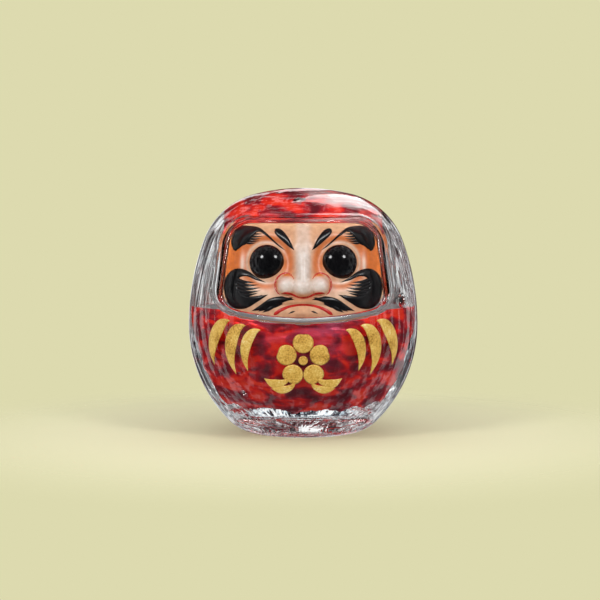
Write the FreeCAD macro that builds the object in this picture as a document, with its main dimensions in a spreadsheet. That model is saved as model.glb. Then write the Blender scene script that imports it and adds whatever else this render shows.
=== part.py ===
"""Glass daruma doll: a clear hollow doll whose red robe and hood stand inside the glass.

Millimetres, +Z up, the doll looks along -Y, and its foot stands on z = 0 at the origin.
The outer form is one turned profile of five tangent arcs. Every other curved face is that
profile moved in or out, so that glass, liners, face and gilding nest inside one another.
"""

import FreeCAD, Part
import math
import os

import Sketcher
from FreeCAD import Placement, Rotation, Vector

DIMENSIONS = {
    # The outer form, turned about Z.
    "height": 110.0,
    "belly_radius": 51.6,
    "belly_height": 48.7,
    "foot_radius": 20.8,
    "heel_radius": 17.7,
    "shoulder_radius": 33.2,
    "shoulder_inset": 4.8,
    "crown_rise": 1.7,
    # The glass shell.
    "wall": 4.0,
    "base_thickness": 12.5,
    "cavity_floor_radius": 22.0,
    "cavity_heel_radius": 10.0,
    # The red liners, which stand clear of the glass.
    "air_gap": 0.4,
    "liner_thickness": 1.2,
    "robe_rim_height": 57.0,
    "hood_rim_height": 88.5,
    "hood_half_width": 33.0,
    "liner_parting": 0.5,
    "notch_clearance": 0.3,
    "robe_pad_radius": 14.0,
    "hood_pad_radius": 8.0,
    # The opening for the face, as seen from the front.
    "face_top": 94.2,
    "face_bottom": 54.8,
    "face_upper_half_width": 31.9,
    "face_lower_half_width": 34.4,
    "face_top_corner": 10.0,
    "face_bottom_corner": 6.5,
    "face_bottom_radius": 150.0,
    # The clear frame round the face.
    "frame_side_width": 5.0,
    "frame_top_width": 4.4,
    "frame_bottom_width": 2.6,
    "frame_crest": 0.8,
    "frame_clearance": 0.15,
    # The porcelain face.
    "plate_thickness": 3.5,
    "plate_lap": 1.0,
    "enamel_thickness": 0.4,
    "eye_spread": 15.6,
    "eye_height": 77.7,
    "eye_radius": 7.5,
    "eye_dome_rise": 4.2,
    "eye_seat_depth": 2.2,
    "eye_clearance": 0.1,
    "eye_turn": 12.0,
    "eye_lift": 8.0,
    "nose_height": 68.5,
    "nose_wing_spread": 6.9,
    "nose_wing_radius": 4.7,
    "nose_wing_proud": 3.2,
    "nose_bridge_height": 74.0,
    "nose_bridge_half_width": 4.2,
    "nose_bridge_half_length": 12.0,
    "nose_bridge_half_depth": 8.0,
    "nose_bridge_proud": 4.6,
    # Each painted stroke fills a box: its inner, outer, lower and upper limits.
    "brow_inner": 7.2,
    "brow_outer": 29.8,
    "brow_low": 82.1,
    "brow_high": 93.3,
    "frown_inner": 3.8,
    "frown_outer": 12.4,
    "frown_low": 82.8,
    "frown_high": 91.8,
    "beard_inner": 14.6,
    "beard_outer": 34.1,
    "beard_low": 57.4,
    "beard_high": 75.0,
    "moustache_inner": 3.5,
    "moustache_outer": 22.3,
    "moustache_low": 56.7,
    "moustache_high": 63.4,
    "mouth_inner": 0.0,
    "mouth_outer": 12.4,
    "mouth_low": 55.6,
    "mouth_high": 60.3,
    "chin_inner": 3.2,
    "chin_outer": 6.4,
    "chin_low": 55.9,
    "chin_high": 57.4,
    # The gilding on the outside of the glass, each stroke in its own box.
    "gold_thickness": 0.3,
    "inner_stroke_inner": 18.5,
    "inner_stroke_outer": 26.4,
    "inner_stroke_low": 31.5,
    "inner_stroke_high": 49.8,
    "middle_stroke_inner": 24.9,
    "middle_stroke_outer": 33.0,
    "middle_stroke_low": 29.8,
    "middle_stroke_high": 51.5,
    "outer_stroke_inner": 31.6,
    "outer_stroke_outer": 40.8,
    "outer_stroke_low": 32.8,
    "outer_stroke_high": 52.8,
    "emblem_height": 36.4,
    "petal_reach": 7.4,
    "petal_radius": 4.3,
    "blossom_heart_radius": 2.2,
    "leaf_inner": 8.0,
    "leaf_outer": 17.0,
    "leaf_low": 22.8,
    "leaf_high": 29.0,
    # The clear bead set in the side of the shell.
    "bead_radius": 3.1,
    "bead_height": 60.5,
    "bead_gap": 0.45,
    "bead_seat": 2.9,
}

doc = FreeCAD.newDocument("glass_daruma")
sheet = doc.addObject("Spreadsheet::Sheet", "Dims")
for row, (alias, size) in enumerate(DIMENSIONS.items(), start=1):
    sheet.set(f"A{row}", alias)
    sheet.set(f"B{row}", str(size))
    sheet.setAlias(f"B{row}", alias)
doc.recompute()

NODES = []


# ---------------------------------------------------------------- sums of named sizes


def turned(terms):
    """The same terms with the opposite signs."""
    return tuple(term[1:] if term.startswith("-") else "-" + term for term in terms)


def number(*terms):
    """The sum of named sizes, where a name may start with a minus sign."""
    return sum(
        -float(sheet.get(term[1:])) if term.startswith("-") else float(sheet.get(term))
        for term in terms
    )


def formula(*terms):
    """The same sum as an expression on the sheet."""
    words = []
    for term in terms:
        words.append("- Dims." + term[1:] if term.startswith("-") else "+ Dims." + term)
    return "0 " + " ".join(words)


def size_of(sketch, constraint, *terms):
    """Adds a dimensional constraint and binds it to a sum of named sizes."""
    index = sketch.addConstraint(constraint)
    sketch.setExpression(f"Constraints[{index}]", formula(*terms))
    return index


def deliver(item, name):
    """Marks an object as a finished piece called name."""
    item.Label = name
    NODES.append(item)
    return item


# ---------------------------------------------------------------- the turned profile

FOOT = {"floor": (), "floor_radius": "foot_radius", "heel": "heel_radius", "belly": ()}
CAVITY = {
    "floor": ("base_thickness",),
    "floor_radius": "cavity_floor_radius",
    "heel": "cavity_heel_radius",
    "belly": ("-wall",),
}

SHOULDER_ACROSS = ("belly_radius", "-shoulder_inset", "-shoulder_radius")
SHOULDER_UP = ("height", "-crown_rise", "-shoulder_radius")


def joining_radius(across, rise, inner):
    """Radius of an arc that is level with its centre at one end and meets a smaller arc inside it.

    across and rise run from the inner arc's centre to the level end.
    """
    return (across**2 + rise**2 - inner**2) / (2 * (across - inner))


def tangent_centres(inset, bottom):
    """Centre and radius of each arc, for placing a sketch near its solution."""
    back = turned(inset)
    floor = number(*bottom["floor"], *inset)
    widest = number("belly_radius", *bottom["belly"], *back)
    level = number("belly_height")
    heel = number(bottom["heel"], *back)
    shoulder = number("shoulder_radius", *bottom["belly"], *back)
    heel_centre = Vector(number(bottom["floor_radius"]), floor + heel, 0)
    shoulder_centre = Vector(number(*SHOULDER_ACROSS), number(*SHOULDER_UP), 0)
    top = number("height", *bottom["belly"], *back)
    belly = joining_radius(widest - heel_centre.x, level - heel_centre.y, heel)
    side = joining_radius(widest - shoulder_centre.x, shoulder_centre.y - level, shoulder)
    crown = joining_radius(top - shoulder_centre.y, shoulder_centre.x, shoulder)
    return {
        "floor": floor,
        "heel": (heel_centre, heel),
        "belly": (Vector(widest - belly, level, 0), belly),
        "side": (Vector(widest - side, level, 0), side),
        "shoulder": (shoulder_centre, shoulder),
        "crown": (Vector(0, top - crown, 0), crown),
    }


def angle_between(start, end):
    """The direction from one point to another, in radians."""
    return math.atan2(end.y - start.y, end.x - start.x)


def egg(name, inset=(), bottom=FOOT):
    """A body of revolution: the outer form moved in by the sum of inset."""
    body = doc.addObject("PartDesign::Body", name)
    sketch = body.newObject("Sketcher::SketchObject", name + "_profile")
    plane = [f for f in body.Origin.OriginFeatures if f.Role == "XZ_Plane"][0]
    sketch.AttachmentSupport = [(plane, "")]
    sketch.MapMode = "FlatFace"
    place = tangent_centres(inset, bottom)
    heel, belly = place["heel"], place["belly"]
    side, shoulder, crown = place["side"], place["shoulder"], place["crown"]
    turns = [
        (heel, -math.pi / 2, angle_between(belly[0], heel[0])),
        (belly, angle_between(belly[0], heel[0]), 0.0),
        (side, 0.0, angle_between(side[0], shoulder[0])),
        (shoulder, angle_between(side[0], shoulder[0]), angle_between(crown[0], shoulder[0])),
        (crown, angle_between(crown[0], shoulder[0]), math.pi / 2),
    ]
    low, top = Vector(0, place["floor"], 0), crown[0] + Vector(0, crown[1], 0)
    floor_edge = heel[0] - Vector(0, heel[1], 0)
    sketch.addGeometry(Part.LineSegment(low, floor_edge))
    up = Vector(0, 0, 1)
    for (centre, radius), start, end in turns:
        sketch.addGeometry(Part.ArcOfCircle(Part.Circle(centre, up, radius), start, end))
    sketch.addGeometry(Part.LineSegment(top, low))
    axis_line = len(turns) + 1
    for edge in range(len(turns)):
        sketch.addConstraint(Sketcher.Constraint("Tangent", edge, 2, edge + 1, 1))
    sketch.addConstraint(Sketcher.Constraint("Coincident", axis_line - 1, 2, axis_line, 1))
    sketch.addConstraint(Sketcher.Constraint("Coincident", axis_line, 2, 0, 1))
    sketch.addConstraint(Sketcher.Constraint("Horizontal", 0))
    sketch.addConstraint(Sketcher.Constraint("PointOnObject", 0, 1, -2))
    sketch.addConstraint(Sketcher.Constraint("PointOnObject", axis_line - 1, 2, -2))
    sketch.addConstraint(Sketcher.Constraint("PointOnObject", axis_line - 1, 3, -2))
    back = turned(inset)
    down = Sketcher.Constraint("DistanceY", -1, 1, 0, 1, place["floor"])
    if bottom["floor"] or inset:
        size_of(sketch, down, *bottom["floor"], *inset)
    else:
        sketch.addConstraint(Sketcher.Constraint("PointOnObject", 0, 1, -1))
    out = Sketcher.Constraint("DistanceX", -1, 1, 0, 2, heel[0].x)
    size_of(sketch, out, bottom["floor_radius"])
    size_of(sketch, Sketcher.Constraint("Radius", 1, heel[1]), bottom["heel"], *back)
    widest = Sketcher.Constraint("DistanceX", -1, 1, 2, 2, belly[0].x + belly[1])
    size_of(sketch, widest, "belly_radius", *bottom["belly"], *back)
    level = Sketcher.Constraint("DistanceY", -1, 1, 2, 2, belly[0].y)
    size_of(sketch, level, "belly_height")
    centre_level = Sketcher.Constraint("DistanceY", -1, 1, 2, 3, belly[0].y)
    size_of(sketch, centre_level, "belly_height")
    round_off = Sketcher.Constraint("Radius", 4, shoulder[1])
    size_of(sketch, round_off, "shoulder_radius", *bottom["belly"], *back)
    across = Sketcher.Constraint("DistanceX", -1, 1, 4, 3, shoulder[0].x)
    size_of(sketch, across, *SHOULDER_ACROSS)
    upward = Sketcher.Constraint("DistanceY", -1, 1, 4, 3, shoulder[0].y)
    size_of(sketch, upward, *SHOULDER_UP)
    summit = Sketcher.Constraint("DistanceY", -1, 1, axis_line - 1, 2, top.y)
    size_of(sketch, summit, "height", *bottom["belly"], *back)
    turn = body.newObject("PartDesign::Revolution", name + "_turning")
    turn.Profile = sketch
    turn.ReferenceAxis = (sketch, ["V_Axis"])
    turn.Angle = 360
    body.Tip = turn
    doc.recompute()
    return body


def surface_depth(inset, height, across=0.0):
    """How far in front of the axis the outer form, moved in by inset, lies at a height."""
    place = tangent_centres(inset, FOOT)
    shoulder_from = angle_between(place["side"][0], place["shoulder"][0])
    crown_from = angle_between(place["crown"][0], place["shoulder"][0])
    side_top = place["side"][0].y + place["side"][1] * math.sin(shoulder_from)
    crown_low = place["crown"][0].y + place["crown"][1] * math.sin(crown_from)
    if height < number("belly_height"):
        arc = place["belly"]
    elif height < side_top:
        arc = place["side"]
    elif height < crown_low:
        arc = place["shoulder"]
    else:
        arc = place["crown"]
    reach = arc[0].x + math.sqrt(arc[1] ** 2 - (height - arc[0].y) ** 2)
    return math.sqrt(reach**2 - across**2)


# ---------------------------------------------------------------- outlines seen from the front

FRONT = Placement(Vector(0, 0, 0), Rotation(Vector(1, 0, 0), 90))
WIDE = ("belly_radius", "belly_radius")


def front_sketch(name):
    """An upright sketch: its x is X, its y is Z, and it looks along -Y."""
    sketch = doc.addObject("Sketcher::SketchObject", name)
    sketch.Placement = FRONT
    return sketch


def prism(name, sketch):
    """The sketch drawn out along -Y, past the glass."""
    block = doc.addObject("Part::Extrusion", name)
    block.Base = sketch
    block.DirMode = "Custom"
    block.Dir = Vector(0, -1, 0)
    block.setExpression("LengthFwd", formula(*WIDE))
    block.Solid = True
    return block


def window_sketch(name, side=(), top=(), bottom=()):
    """The face opening's rounded outline, let out by named margins."""
    sketch = front_sketch(name)
    high = number("face_top", *top)
    low = number("face_bottom", *turned(bottom))
    upper = number("face_upper_half_width", *side)
    lower = number("face_lower_half_width", *side)
    corner = number("face_top_corner", *side)
    heel = number("face_bottom_corner", *side)
    sweep = number("face_bottom_radius")
    chin = Vector(0, low + sweep, 0)
    heel_x = lower - heel
    heel_centre = Vector(heel_x, chin.y - math.sqrt((sweep - heel) ** 2 - heel_x**2), 0)
    top_centre = Vector(upper - corner, high - corner, 0)
    up = Vector(0, 0, 1)

    def arc(centre, radius, start, end):
        return Part.ArcOfCircle(Part.Circle(centre, up, radius), start, end)

    lean = angle_between(chin, heel_centre)
    left_heel = Vector(-heel_centre.x, heel_centre.y, 0)
    left_top = Vector(-top_centre.x, top_centre.y, 0)
    sketch.addGeometry(
        [
            Part.LineSegment(Vector(top_centre.x, high, 0), Vector(left_top.x, high, 0)),
            arc(left_top, corner, math.pi / 2, math.pi),
            Part.LineSegment(Vector(-upper, top_centre.y, 0), Vector(-lower, heel_centre.y, 0)),
            arc(left_heel, heel, math.pi, math.pi - lean),
            arc(chin, sweep, -math.pi - lean, lean),
            arc(heel_centre, heel, lean, 0.0),
            Part.LineSegment(Vector(lower, heel_centre.y, 0), Vector(upper, top_centre.y, 0)),
            arc(top_centre, corner, 0.0, math.pi / 2),
        ]
    )
    for edge in range(8):
        sketch.addConstraint(Sketcher.Constraint("Tangent", edge, 2, (edge + 1) % 8, 1))
    sketch.addConstraint(Sketcher.Constraint("Symmetric", 0, 1, 0, 2, -2))
    sketch.addConstraint(Sketcher.Constraint("PointOnObject", 4, 3, -2))
    size_of(sketch, Sketcher.Constraint("DistanceY", -1, 1, 0, 1, high), "face_top", *top)
    radii = ((1, corner), (7, corner), (3, heel), (5, heel))
    for edge, radius in radii:
        key = "face_top_corner" if edge in (1, 7) else "face_bottom_corner"
        size_of(sketch, Sketcher.Constraint("Radius", edge, radius), key, *side)
    size_of(sketch, Sketcher.Constraint("Radius", 4, sweep), "face_bottom_radius")
    rise = Sketcher.Constraint("DistanceY", -1, 1, 4, 3, chin.y)
    size_of(sketch, rise, "face_bottom", *turned(bottom), "face_bottom_radius")
    for point, key in ((2, "face_upper_half_width"), (1, "face_lower_half_width")):
        width = Sketcher.Constraint("DistanceX", -1, 1, 6, point, number(key, *side))
        size_of(sketch, width, key, *side)
    width = Sketcher.Constraint("DistanceX", 2, 2, -1, 1, lower)
    size_of(sketch, width, "face_lower_half_width", *side)
    doc.recompute()
    return sketch


# ---------------------------------------------------------------- shared helpers


def combined(kind, name, *items):
    """A boolean of two objects (Cut, Common) or of several (MultiFuse)."""
    result = doc.addObject("Part::" + kind, name)
    if kind == "MultiFuse":
        result.Shapes = list(items)
    else:
        result.Base, result.Tool = items
    doc.recompute()
    return result


def zone_box(name, low, high):
    """A box between two corners, each coordinate a sum of named sizes."""
    box = doc.addObject("Part::Box", name)
    for side, start, end in zip(("x", "y", "z"), low, high):
        box.setExpression("Placement.Base." + side, formula(*start))
        length = {"x": "Length", "y": "Width", "z": "Height"}[side]
        box.setExpression(length, formula(*end, *turned(start)))
    doc.recompute()
    return box


def pad_disc(name, radius, low, high):
    """An upright disc on the axis between two heights."""
    disc = doc.addObject("Part::Cylinder", name)
    disc.setExpression("Radius", formula(radius))
    disc.setExpression("Height", formula(*high, *turned(low)))
    disc.setExpression("Placement.Base.z", formula(*low))
    doc.recompute()
    return disc


NEGATIVE_WIDE = turned(WIDE)
ABOVE = ("height", "wall")
BELOW = ("-wall",)

# A stroke is a row of (across, up, half width): the first two run from 0 to 1 over its box, and
# the half width is a share of the box's height.
BROW = (
    (0.00, 0.04, 0.00),
    (0.13, 0.22, 0.03),
    (0.27, 0.46, 0.04),
    (0.40, 0.69, 0.05),
    (0.54, 0.82, 0.10),
    (0.67, 0.78, 0.20),
    (0.81, 0.64, 0.34),
    (0.93, 0.37, 0.26),
    (0.96, 0.13, 0.12),
    (0.95, 0.00, 0.00),
)
FROWN = (
    (0.00, 0.00, 0.00),
    (0.34, 0.42, 0.11),
    (0.64, 0.73, 0.17),
    (0.90, 0.92, 0.08),
    (1.00, 0.98, 0.00),
)
BEARD = (
    (0.05, 0.66, 0.00),
    (0.33, 0.77, 0.03),
    (0.62, 0.89, 0.06),
    (0.83, 0.79, 0.12),
    (0.86, 0.52, 0.14),
    (0.77, 0.27, 0.18),
    (0.55, 0.17, 0.14),
    (0.27, 0.25, 0.06),
    (0.00, 0.37, 0.00),
)
MOUSTACHE = (
    (0.00, 0.78, 0.00),
    (0.24, 0.79, 0.13),
    (0.48, 0.64, 0.26),
    (0.72, 0.36, 0.22),
    (0.88, 0.16, 0.12),
    (1.00, 0.06, 0.00),
)
MOUTH_HALF = (
    (0.00, 0.90, 0.11),
    (0.33, 0.81, 0.11),
    (0.67, 0.52, 0.11),
    (1.00, 0.00, 0.00),
)
CHIN_MARK = (
    (0.00, 1.00, 0.00),
    (0.35, 0.74, 0.24),
    (0.70, 0.34, 0.24),
    (1.00, 0.00, 0.00),
)
ROBE_STROKE = (
    (0.00, 0.955, 0.000),
    (0.16, 0.945, 0.050),
    (0.46, 0.885, 0.090),
    (0.69, 0.710, 0.110),
    (0.80, 0.490, 0.088),
    (0.76, 0.260, 0.060),
    (0.60, 0.000, 0.000),
)
LEAF = (
    (0.00, 1.00, 0.00),
    (0.25, 0.70, 0.22),
    (0.60, 0.36, 0.30),
    (1.00, 0.00, 0.00),
)


def brush_outline(spine):
    """A closed face from (x, z, half width) points, pointed where the half width is zero."""
    banks = {1: [], -1: []}
    for index, (x, z, half) in enumerate(spine):
        before, after = spine[max(index - 1, 0)], spine[min(index + 1, len(spine) - 1)]
        along = Vector(after[0] - before[0], 0, after[1] - before[1]).normalize()
        across = Vector(along.z, 0, -along.x)
        for bank, points in banks.items():
            points.append(Vector(x, 0, z) + across * (half * bank))
    edges = []
    for points in banks.values():
        curve = Part.BSplineCurve()
        curve.interpolate(points)
        edges.append(curve.toShape())
    return Part.Face(Part.Wire(Part.__sortEdges__(edges)))


def boxed(shape, box, hand):
    """The shape's points in millimetres: box names the stroke, hand is 1 for the doll's left."""
    inner, outer = number(box + "_inner"), number(box + "_outer")
    low, high = number(box + "_low"), number(box + "_high")
    rise = high - low
    return [
        (hand * (inner + across * (outer - inner)), low + up * rise, half * rise)
        for across, up, half in shape
    ]


def forward(face):
    """A flat upright face drawn out along -Y, past the glass."""
    return face.extrude(Vector(0, -number(*WIDE), 0))


def painted(name, skin, faces):
    """What a skin has in common with each face drawn forward: one solid for each face."""
    reliefs = []
    for count, face in enumerate(faces, start=1):
        stamp = doc.addObject("Part::Feature", f"{name}_stamp_{count}")
        stamp.Shape = forward(face)
        reliefs.append(combined("Common", f"{name}_relief_{count}", skin, stamp))
    if len(reliefs) == 1:
        return deliver(reliefs[0], name)
    group = doc.addObject("Part::Compound", name + "_group")
    group.Links = reliefs
    doc.recompute()
    return deliver(group, name)


def hands():
    """The doll's own left and right: left is +X, because it looks along -Y."""
    return (("left", 1), ("right", -1))


# ---------------------------------------------------------------- turned forms

PLATE_FRONT = ("wall", "air_gap")
ENAMEL_FRONT = ("wall", "air_gap", "-enamel_thickness")
PLATE_BACK = ("wall", "air_gap", "plate_thickness")
CREST = ("-frame_crest",)
GOLD_FRONT = ("-gold_thickness",)

outer_form = egg("outer_form")
cavity_form = egg("cavity_form", (), CAVITY)
crest_form = egg("crest_form", CREST)
gold_form = egg("gold_form", GOLD_FRONT)
inner_glass_form = egg("inner_glass_form", ("wall",))
plate_front_form = egg("plate_front_form", PLATE_FRONT)
plate_back_form = egg("plate_back_form", PLATE_BACK)
enamel_form = egg("enamel_form", ENAMEL_FRONT)
liner_outside = egg("liner_outside", ("air_gap",), CAVITY)
liner_inside = egg("liner_inside", ("air_gap", "liner_thickness"), CAVITY)

FRAME_SIDE, FRAME_TOP = ("frame_side_width",), ("frame_top_width",)
FRAME_BOTTOM = ("frame_bottom_width",)
CLEAR = ("frame_clearance",)
LAP = ("plate_lap",)
NOTCH = ("notch_clearance",)


def window(name, *margins):
    """The face opening as a prism along -Y: margins are for the sides, the top and the bottom."""
    return prism(name, window_sketch(name + "_outline", *margins))


opening = window("opening")
frame_block = window("frame_block", FRAME_SIDE, FRAME_TOP, FRAME_BOTTOM)
frame_hole = window("frame_hole", FRAME_SIDE + CLEAR, FRAME_TOP + CLEAR, FRAME_BOTTOM + CLEAR)
plate_block = window("plate_block", LAP, LAP, LAP)
# The robe stops short of the frame; the hood runs on behind it, to the edge of the face.
robe_notch = window("robe_notch", FRAME_SIDE + NOTCH, FRAME_TOP + NOTCH, FRAME_BOTTOM + NOTCH)
hood_notch = window("hood_notch", LAP + NOTCH, LAP + NOTCH, LAP + NOTCH)
front_half = zone_box(
    "front_half", (NEGATIVE_WIDE, NEGATIVE_WIDE, BELOW), (WIDE, (), ABOVE)
)
back_half = zone_box("back_half", (NEGATIVE_WIDE, (), BELOW), (WIDE, WIDE, ABOVE))


# ---------------------------------------------------------------- the clear glass

bead = doc.addObject("Part::Sphere", "bead_ball")
bead.setExpression("Radius", formula("bead_radius"))
# The bead's cup lies just outside the frame.
bead_out = surface_depth((), number("bead_height")) - number("bead_seat") + number("bead_radius")
bead_across = number("face_lower_half_width", "frame_side_width", "bead_gap", "bead_radius")
bead_angle = math.asin(bead_across / bead_out)
# The ball's poles point in and out, so that neither lies near the rim of its cup.
outwards = Vector(math.sin(bead_angle), -math.cos(bead_angle), 0)
bead.Placement = Placement(
    outwards * bead_out + Vector(0, 0, number("bead_height")),
    Rotation(Vector(0, 0, 1), outwards),
)
deliver(bead, "glass_bead")

hollow = combined("Cut", "hollow_glass", outer_form, cavity_form)
windowed = combined("Cut", "windowed_glass", hollow, frame_hole)
pierced = combined("Cut", "pierced_glass", windowed, bead)
deliver(combined("Common", "front_glass", pierced, front_half), "shell_front")
deliver(combined("Common", "back_glass", pierced, back_half), "shell_back")

frame_skin = combined("Cut", "frame_skin", crest_form, plate_front_form)
frame_ring = combined("Cut", "frame_ring", frame_block, opening)
deliver(combined("Common", "framed_glass", frame_skin, frame_ring), "face_frame")

bond_skin = combined("Cut", "bond_skin", outer_form, inner_glass_form)
bond_ring = combined("Cut", "bond_ring", frame_hole, frame_block)
deliver(combined("Common", "bonded_line", bond_skin, bond_ring), "frame_bond")


# ---------------------------------------------------------------- the red liners

liner_skin = combined("Cut", "liner_skin", liner_outside, liner_inside)
robe_zone = zone_box(
    "robe_zone", (NEGATIVE_WIDE, NEGATIVE_WIDE, ()), (WIDE, WIDE, ("robe_rim_height",))
)
panel_zone = zone_box(
    "panel_zone",
    (("-hood_half_width",), (), ("robe_rim_height",)),
    (("hood_half_width",), WIDE, ("hood_rim_height", "-liner_parting")),
)
hood_zone = zone_box(
    "hood_zone",
    (("-hood_half_width",), NEGATIVE_WIDE, ("hood_rim_height",)),
    (("hood_half_width",), WIDE, ABOVE),
)
robe_pad = pad_disc(
    "robe_pad", "robe_pad_radius", ("base_thickness",), ("base_thickness", "air_gap")
)
hood_pad_stock = pad_disc("hood_pad_stock", "hood_pad_radius", ("hood_rim_height",), ("height",))
pad_skin = combined("Cut", "pad_skin", cavity_form, liner_outside)
hood_pad = combined("Common", "hood_pad", pad_skin, hood_pad_stock)

robe_reach = combined("MultiFuse", "robe_reach", robe_zone, panel_zone)
robe_skin = combined("Common", "robe_skin", liner_skin, robe_reach)
robe_cut = combined("Cut", "robe_cut", robe_skin, robe_notch)
deliver(combined("MultiFuse", "robe", robe_cut, robe_pad), "robe_liner")

hood_skin = combined("Common", "hood_skin", liner_skin, hood_zone)
hood_cut = combined("Cut", "hood_cut", hood_skin, hood_notch)
deliver(combined("MultiFuse", "hood", hood_cut, hood_pad), "hood_liner")


# ---------------------------------------------------------------- the porcelain face

plate_skin = combined("Cut", "plate_skin", plate_front_form, plate_back_form)
bare_plate = combined("Common", "bare_plate", plate_skin, plate_block)


def eye_seat(hand):
    """Where an eye's flat back rests, and the turn that faces it outwards."""
    across, height = hand * number("eye_spread"), number("eye_height")
    turn = Rotation(Vector(0, 0, 1), hand * number("eye_turn"))
    lift = Rotation(Vector(1, 0, 0), 90 - number("eye_lift"))
    facing = turn.multiply(lift)
    surface = Vector(across, -surface_depth(PLATE_FRONT, height, across), height)
    return surface - facing.multVec(Vector(0, 0, 1)) * number("eye_seat_depth"), facing


def eye_piece(name, hand, clearance=()):
    """A cylinder standing on an eye's seat, as tall as the whole eye."""
    seat, facing = eye_seat(hand)
    post = doc.addObject("Part::Cylinder", name)
    post.setExpression("Radius", formula("eye_radius", *clearance))
    post.setExpression("Height", formula("eye_seat_depth", "eye_dome_rise"))
    post.Placement = Placement(seat, facing)
    return post


sockets = []
for side, hand in hands():
    post = eye_piece("eye_post_" + side, hand)
    ball = doc.addObject("Part::Sphere", "eye_ball_" + side)
    ball.setExpression(
        "Radius", "(Dims.eye_radius ^ 2 + Dims.eye_dome_rise ^ 2) / (2 * Dims.eye_dome_rise)"
    )
    doc.recompute()
    seat, facing = eye_seat(hand)
    lift = number("eye_seat_depth", "eye_dome_rise") - ball.Radius.Value
    ball.Placement = Placement(seat + facing.multVec(Vector(0, 0, 1)) * lift, facing)
    deliver(combined("Common", "eye_dome_" + side, post, ball), "eye_" + side)
    sockets.append(eye_piece("eye_socket_" + side, hand, ("eye_clearance",)))

nose_parts = []
for side, hand in hands():
    wing = doc.addObject("Part::Sphere", "nose_wing_" + side)
    wing.setExpression("Radius", formula("nose_wing_radius"))
    across, height = hand * number("nose_wing_spread"), number("nose_height")
    depth = surface_depth(PLATE_FRONT, height, across)
    sunk = number("nose_wing_radius") - number("nose_wing_proud")
    wing.Placement.Base = Vector(across, sunk - depth, height)
    nose_parts.append(wing)
bridge = doc.addObject("Part::Ellipsoid", "nose_bridge")
bridge.setExpression("Radius1", formula("nose_bridge_half_length"))
bridge.setExpression("Radius2", formula("nose_bridge_half_width"))
bridge.setExpression("Radius3", formula("nose_bridge_half_depth"))
bridge_depth = surface_depth(PLATE_FRONT, number("nose_bridge_height"))
bridge_sunk = number("nose_bridge_half_depth") - number("nose_bridge_proud")
bridge.Placement.Base = Vector(0, bridge_sunk - bridge_depth, number("nose_bridge_height"))
nose_parts.append(bridge)

nose_stock = combined("MultiFuse", "nose_stock", *nose_parts)
nose = combined("Cut", "nose", nose_stock, plate_back_form)
both_sockets = combined("MultiFuse", "both_sockets", *sockets)
plate_with_sockets = combined("Cut", "plate_with_sockets", bare_plate, both_sockets)
nose_between_eyes = combined("Cut", "nose_between_eyes", nose, both_sockets)
deliver(combined("MultiFuse", "plate_with_nose", plate_with_sockets, nose_between_eyes), "face_plate")


# ---------------------------------------------------------------- painted strokes on the face

whole_enamel_skin = combined("Cut", "whole_enamel_skin", enamel_form, plate_front_form)
enamel_skin = combined("Cut", "enamel_skin", whole_enamel_skin, both_sockets)
FACE_STROKES = {"brow": BROW, "frown": FROWN, "beard": BEARD, "moustache": MOUSTACHE}
for stroke, shape in FACE_STROKES.items():
    for side, hand in hands():
        outline = brush_outline(boxed(shape, stroke, hand))
        painted(f"{stroke}_{side}", enamel_skin, [outline])

mouth_left = boxed(MOUTH_HALF, "mouth", 1)
mouth_right = boxed(MOUTH_HALF[:0:-1], "mouth", -1)
painted("mouth_line", enamel_skin, [brush_outline(mouth_right + mouth_left)])
painted(
    "chin_marks",
    enamel_skin,
    [brush_outline(boxed(CHIN_MARK, "chin", hand)) for side, hand in hands()],
)


# ---------------------------------------------------------------- gilding on the glass

gold_skin = combined("Cut", "gold_skin", gold_form, outer_form)
for place in ("inner", "middle", "outer"):
    for side, hand in hands():
        outline = brush_outline(boxed(ROBE_STROKE, place + "_stroke", hand))
        painted(f"robe_stroke_{side}_{place}", gold_skin, [outline])

PETALS = 5
emblem_centre = Vector(0, 0, number("emblem_height"))
forwards = Vector(0, -1, 0)


def disc_face(centre, radius):
    """A flat upright disc."""
    return Part.Face(Part.Wire(Part.Circle(centre, forwards, radius).toShape()))


blossom = [disc_face(emblem_centre, number("blossom_heart_radius"))]
for petal in range(PETALS):
    angle = math.radians(90 + 360 * petal / PETALS)
    outwards = Vector(math.cos(angle), 0, math.sin(angle))
    centre = emblem_centre + outwards * number("petal_reach")
    blossom.append(disc_face(centre, number("petal_radius")))
for side, hand in hands():
    blossom.append(brush_outline(boxed(LEAF, "leaf", hand)))
painted("chest_emblem", gold_skin, blossom)


# ---------------------------------------------------------------- checks and export

doc.recompute()
for item in doc.Objects:
    assert not {"Invalid", "Error"} & set(item.State), f"{item.Name}: {item.State}"
for item in NODES:
    assert not item.Shape.isNull() and item.Shape.isValid(), item.Label
    assert item.Shape.Solids, item.Label
assert len({item.Label for item in NODES}) == len(NODES)

os.makedirs("parts", exist_ok=True)
for item in NODES:
    item.Shape.exportStep(f"parts/{item.Label}.step")
    box = item.Shape.BoundBox
    print(
        f"{item.Label:26s} {len(item.Shape.Solids)} solid(s) {item.Shape.Volume:10.1f} mm3"
        f"  x {box.XMin:6.1f} {box.XMax:6.1f}  y {box.YMin:6.1f} {box.YMax:6.1f}"
        f"  z {box.ZMin:6.1f} {box.ZMax:6.1f}"
    )
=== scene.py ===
# %% [markdown]
# # A glass daruma doll
# A daruma is a round wishing doll with no arms or legs. This one is clear glass: a thick hollow
# shell, a red lacquered robe and hood that stand inside it, a painted porcelain face set in a
# clear frame, and raised gold strokes on the outside. The solids come packed from CAD, so the
# sizes below are read from them, and each look is built over its solid in the same place.

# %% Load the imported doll
import math

import bmesh
import bpy
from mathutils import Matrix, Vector, noise


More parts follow.
